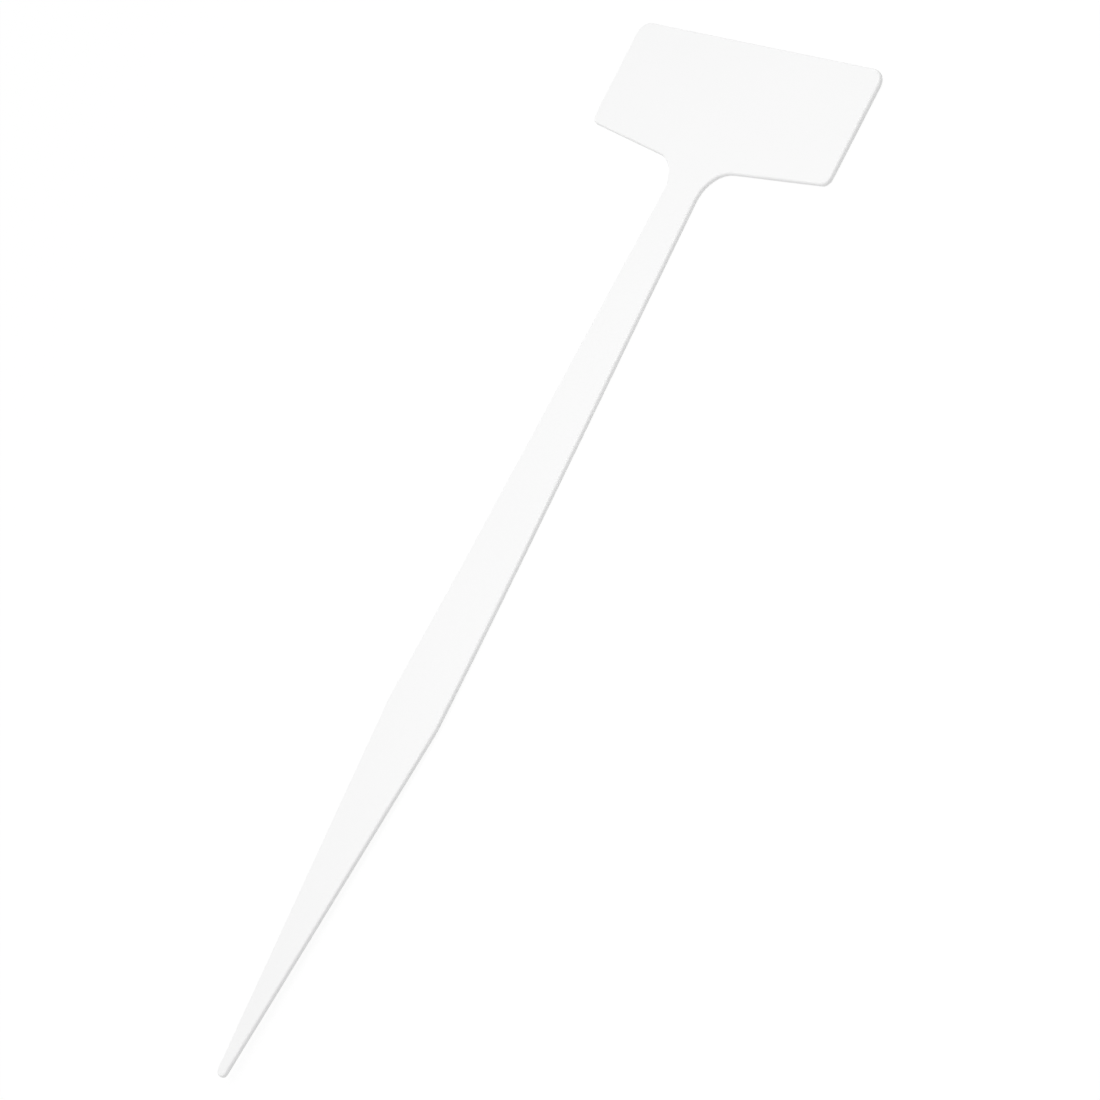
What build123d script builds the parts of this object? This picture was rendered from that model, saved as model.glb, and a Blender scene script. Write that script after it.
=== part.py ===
from build123d import *
import math
import os

# Plant label stake: one moulded plate with a wide writing head, a flat stem and a blade for the soil
# It lies on its back: X runs across the head, Y from the tip to the head, Z out of the writing face

# Whole plate
length = 250.0
thickness = 1.25
edge_radius = 0.45

# Head, from its top edge down to the neck
head_width = 75.0
head_side = 25.5
head_foot_drop = 3.7
top_corner_radius = 3.2
foot_corner_radius = 2.1

# Stem, which widens from the neck to the shoulders
neck_width = 9.7
neck_radius = 7.5
shoulder_width = 18.0
shoulder_height = 89.0
shoulder_radius = 8.0

# Blade, which narrows from the shoulders to a round tip
tip_width = 2.7
tip_radius_share = 0.5

# Lean of the lower stem and blade towards the writing face, past one long arc about the lean's height
lean_angle = 1.25
lean_height = 111.0
lean_arc_length = 60.0

# How far the bodies that are cut against each other run past the plate
overrun = 5.0


def side_corners(side):
    """Corners of one side from the head's top to the tip, each with its radius; side is 1 or -1."""
    foot_height = length - head_side
    neck_height = foot_height - head_foot_drop
    return [
        ((side * head_width / 2, length), top_corner_radius),
        ((side * head_width / 2, foot_height), foot_corner_radius),
        ((side * neck_width / 2, neck_height), neck_radius),
        ((side * shoulder_width / 2, shoulder_height), shoulder_radius),
        ((side * tip_width / 2, 0), tip_width * tip_radius_share),
    ]


def outline():
    """The plate's outline as a face, with its tip at the height of zero."""
    corners = side_corners(1) + side_corners(-1)[::-1]
    with BuildSketch() as sketch:
        with BuildLine():
            FilletPolyline(
                *[point for point, radius in corners],
                radius=[radius for point, radius in corners],
                close=True,
            )
        make_face()
    return sketch.sketch


def side_profile():
    """The plate seen from its right side, flat at the head and leaning past one arc, as a face."""
    arc_top = lean_height + lean_arc_length / 2
    arc_radius = lean_arc_length / math.radians(lean_angle)
    with BuildSketch(Plane.YZ) as sketch:
        with BuildLine():
            Line((length + overrun, 0), (arc_top, 0))
            arc = JernArc((arc_top, 0), (-1, 0), arc_radius, -lean_angle)
            PolarLine(arc @ 1, arc_top, direction=arc % 1)
            offset(amount=thickness, side=Side.RIGHT)
        make_face()
    return sketch.sketch


def is_wall(face):
    """Whether a face stands round the outline, upright between the front and the back."""
    return round(face.normal_at().Z) == 0


def label_stake():
    """The moulded plate with every edge rounded, centred over its own length."""
    rise = lean_height * math.tan(math.radians(lean_angle))
    with BuildPart() as plate:
        extrude(outline(), amount=rise + thickness + overrun, both=True)
        extrude(side_profile(), amount=head_width / 2 + overrun, both=True, mode=Mode.INTERSECT)
        rims = plate.faces().filter_by(is_wall).edges().filter_by(Axis.Z, reverse=True)
        fillet(rims, radius=edge_radius)
    return Pos(0, -length / 2) * plate.part


os.makedirs("parts", exist_ok=True)
export_step(label_stake(), "parts/label_stake.step")
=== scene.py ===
import bpy
import math
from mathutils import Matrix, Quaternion, Vector


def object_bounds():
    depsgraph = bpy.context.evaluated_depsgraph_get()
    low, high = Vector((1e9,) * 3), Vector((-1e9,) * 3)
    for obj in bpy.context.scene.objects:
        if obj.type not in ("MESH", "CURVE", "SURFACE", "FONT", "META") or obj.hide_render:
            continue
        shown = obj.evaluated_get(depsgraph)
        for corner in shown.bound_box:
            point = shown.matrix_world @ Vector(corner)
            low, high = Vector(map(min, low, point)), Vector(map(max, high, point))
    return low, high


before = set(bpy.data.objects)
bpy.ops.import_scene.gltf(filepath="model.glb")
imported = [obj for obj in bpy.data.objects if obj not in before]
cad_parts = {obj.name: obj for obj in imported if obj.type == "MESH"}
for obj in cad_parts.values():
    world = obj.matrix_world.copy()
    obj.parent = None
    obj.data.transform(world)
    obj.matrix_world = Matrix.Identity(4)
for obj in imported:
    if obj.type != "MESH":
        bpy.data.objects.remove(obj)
cad_low, cad_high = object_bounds()
label_length = cad_high[1] - cad_low[1]
label_back = cad_low[2]

# Camera, where the photographed outline puts it, in metres and degrees, with lens and sensor in millimetres
camera_place = (0.29469, 0.02164, 0.27099)
camera_aim = (0.01472, 0.00935, 0.00125)
camera_roll = -64.6
camera_lens = 60.84
camera_sensor = 36.0

# Lights: an even white surround, a soft lamp over the stem and wide soft light from the head's left end
# The lamp is given in metres and watts, and the side light's spread in degrees
# Only the direction from the side light's place to its aim counts, because it lights as a sun does
surround_strength = 0.526
lamp_along = 0.028
lamp_place = (0.035, lamp_along, 0.47)
lamp_aim = (0.0, lamp_along, 0.0)
lamp_size = 0.35
lamp_power = 0.91
side_light_place = (0.0, 0.0, 0.0)
side_light_aim = (0.42, -0.50, -0.76)
side_light_spread = 60.0
side_light_strength = 0.55

# Floor, a hair below the label's back, which the camera sees white with a share of the shadow
# Its white is a little over 1, which makes up for what that share takes from the floor out of the shadow
# The share fades out between two distances from the label's middle, so the floor meets the surround unseen
floor_size = 24 * label_length
floor_drop = 0.00002
floor_colour = 0.84
floor_white = 1.012
shadow_share_near = 0.08
shadow_share_far = 0.0
shadow_fade_start = 0.8 * label_length
shadow_fade_end = 3.2 * label_length

# White plastic, with the sizes of its marks in metres and how many finer layers each kind has
plastic_colour = 0.93
plastic_ior = 1.5
tint_size = 0.045
tint_layers = 2
tint_share = 0.006
gloss_size = 0.012
gloss_layers = 3
roughness_low = 0.52
roughness_high = 0.62
wave_size = 0.035
wave_layers = 1
wave_height = 0.00006
grain_size = 0.00022
grain_layers = 2
grain_height = 0.000004

# Noise keeps mostly between these two values
noise_low = 0.3
noise_high = 0.7

# Plain white, and the last number of a colour that nothing shows through
full_white = 1.0
opaque = 1.0


def link_object(thing):
    """Puts a new object into the scene and hands it back."""
    bpy.context.scene.collection.objects.link(thing)
    return thing


def new_material(name):
    """A node material, its node tree and the tree's only node, which is its output."""
    material = bpy.data.materials.new(name)
    material.use_nodes = True
    tree = material.node_tree
    tree.nodes.clear()
    return material, tree, tree.nodes.new("ShaderNodeOutputMaterial")


def add_noise(tree, place, size, layers):
    """Noise whose marks are about the given size in metres, with finer layers on top."""
    node = tree.nodes.new("ShaderNodeTexNoise")
    node.inputs["Scale"].default_value = 1 / size
    node.inputs["Detail"].default_value = layers
    tree.links.new(place, node.inputs["Vector"])
    return node.outputs["Fac"]


def add_range(tree, value, from_low, from_high, low, high):
    """A value whose range from one pair of limits is spread over another pair."""
    node = tree.nodes.new("ShaderNodeMapRange")
    node.inputs["From Min"].default_value = from_low
    node.inputs["From Max"].default_value = from_high
    node.inputs["To Min"].default_value = low
    node.inputs["To Max"].default_value = high
    tree.links.new(value, node.inputs["Value"])
    return node.outputs["Result"]


def add_bump(tree, value, height, under=None):
    """A bump of the given height in metres, on top of the one under it."""
    node = tree.nodes.new("ShaderNodeBump")
    node.inputs["Distance"].default_value = height
    tree.links.new(value, node.inputs["Height"])
    if under is not None:
        tree.links.new(under, node.inputs["Normal"])
    return node.outputs["Normal"]


def white_plastic():
    """Soft matt moulded plastic: a fine even grain, faint flow marks in its gloss and slight waves."""
    material, tree, output = new_material("white_plastic")
    place = tree.nodes.new("ShaderNodeTexCoord").outputs["Object"]
    shader = tree.nodes.new("ShaderNodeBsdfPrincipled")
    shader.inputs["IOR"].default_value = plastic_ior
    tint = add_noise(tree, place, tint_size, tint_layers)
    darkest = plastic_colour * (1 - tint_share)
    shade = add_range(tree, tint, noise_low, noise_high, darkest, plastic_colour)
    tree.links.new(shade, shader.inputs["Base Color"])
    gloss = add_noise(tree, place, gloss_size, gloss_layers)
    roughness = add_range(tree, gloss, noise_low, noise_high, roughness_low, roughness_high)
    tree.links.new(roughness, shader.inputs["Roughness"])
    wave = add_bump(tree, add_noise(tree, place, wave_size, wave_layers), wave_height)
    grain = add_bump(tree, add_noise(tree, place, grain_size, grain_layers), grain_height, wave)
    tree.links.new(grain, shader.inputs["Normal"])
    tree.links.new(shader.outputs["BSDF"], output.inputs["Surface"])
    return material


def seen_by_camera(tree):
    """1 for what the camera sees, straight, in a gloss or through a thing, and 0 for other light."""
    path = tree.nodes.new("ShaderNodeLightPath")
    seen = path.outputs["Is Camera Ray"]
    for name in ("Is Glossy Ray", "Is Transmission Ray"):
        either = tree.nodes.new("ShaderNodeMath")
        either.operation = "MAXIMUM"
        tree.links.new(seen, either.inputs[0])
        tree.links.new(path.outputs[name], either.inputs[1])
        seen = either.outputs["Value"]
    return seen


def add_mix(tree, factor, first, second):
    """A mix of two surfaces, where a node's value is the share of the second."""
    node = tree.nodes.new("ShaderNodeMixShader")
    factor_socket, first_socket, second_socket = node.inputs
    tree.links.new(factor, factor_socket)
    tree.links.new(first, first_socket)
    tree.links.new(second, second_socket)
    return node.outputs["Shader"]


def add_plain(tree, kind, grey):
    """A plain surface or light of one grey."""
    node = tree.nodes.new(kind)
    node.inputs["Color"].default_value = (grey, grey, grey, opaque)
    return node.outputs[0]


def shadow_share(tree):
    """The share of the shadow that the camera sees, less the further from the label's middle."""
    distance = tree.nodes.new("ShaderNodeVectorMath")
    distance.operation = "LENGTH"
    place = tree.nodes.new("ShaderNodeTexCoord").outputs["Object"]
    tree.links.new(place, distance.inputs[0])
    far = distance.outputs["Value"]
    return add_range(tree, far, shadow_fade_start, shadow_fade_end, shadow_share_near, shadow_share_far)


def pale_floor():
    """Pale matt floor that the camera sees as white with a faint soft shadow of the label."""
    material, tree, output = new_material("pale_floor")
    white = add_plain(tree, "ShaderNodeEmission", floor_white)
    shaded_white = add_plain(tree, "ShaderNodeBsdfDiffuse", full_white)
    seen = add_mix(tree, shadow_share(tree), white, shaded_white)
    matt = add_plain(tree, "ShaderNodeBsdfDiffuse", floor_colour)
    tree.links.new(add_mix(tree, seen_by_camera(tree), matt, seen), output.inputs["Surface"])
    return material


def make_floor():
    """One large plane under the label."""
    half = floor_size / 2
    height = label_back - floor_drop
    mesh = bpy.data.meshes.new("floor")
    corners = [(-half, -half, height), (half, -half, height), (half, half, height), (-half, half, height)]
    mesh.from_pydata(corners, [], [range(len(corners))])
    mesh.materials.append(pale_floor())
    link_object(bpy.data.objects.new("floor", mesh))


def make_world():
    """An even surround that lights the label softly and shows white to the camera."""
    world = bpy.data.worlds.new("surround")
    world.use_nodes = True
    tree = world.node_tree
    tree.nodes.clear()
    output = tree.nodes.new("ShaderNodeOutputWorld")
    light = add_plain(tree, "ShaderNodeBackground", surround_strength)
    white = add_plain(tree, "ShaderNodeBackground", full_white)
    tree.links.new(add_mix(tree, seen_by_camera(tree), light, white), output.inputs["Surface"])
    bpy.context.scene.world = world


def turn_towards(thing, place, aim, roll=0):
    """Puts a camera or a light at a place, facing the aim, and rolls it about its own view line."""
    view_line = (0, 0, 1)
    thing.location = place
    thing.rotation_mode = "QUATERNION"
    level = (Vector(aim) - Vector(place)).to_track_quat("-Z", "Y")
    thing.rotation_quaternion = level @ Quaternion(view_line, math.radians(roll))


def add_light(name, kind, strength, place, aim):
    """A new light in the scene, at a place and facing the aim."""
    light = bpy.data.lights.new(name, kind)
    light.energy = strength
    turn_towards(link_object(bpy.data.objects.new(name, light)), place, aim)
    return light


def make_lamps():
    """The soft lamp over the stem and the wide light from the head's left end."""
    lamp = add_light("lamp", "AREA", lamp_power, lamp_place, lamp_aim)
    lamp.size = lamp_size
    side_light = add_light("side_light", "SUN", side_light_strength, side_light_place, side_light_aim)
    side_light.angle = math.radians(side_light_spread)


def make_camera():
    """The camera at the photograph's viewing angle."""
    data = bpy.data.cameras.new("camera")
    data.lens = camera_lens
    data.sensor_width = camera_sensor
    camera = link_object(bpy.data.objects.new("camera", data))
    turn_towards(camera, camera_place, camera_aim, camera_roll)
    bpy.context.scene.camera = camera


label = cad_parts["label_stake"]
label.material_slots[0].material = white_plastic()
make_floor()
make_world()
make_lamps()
make_camera()
bpy.context.scene.view_settings.view_transform = "Standard"
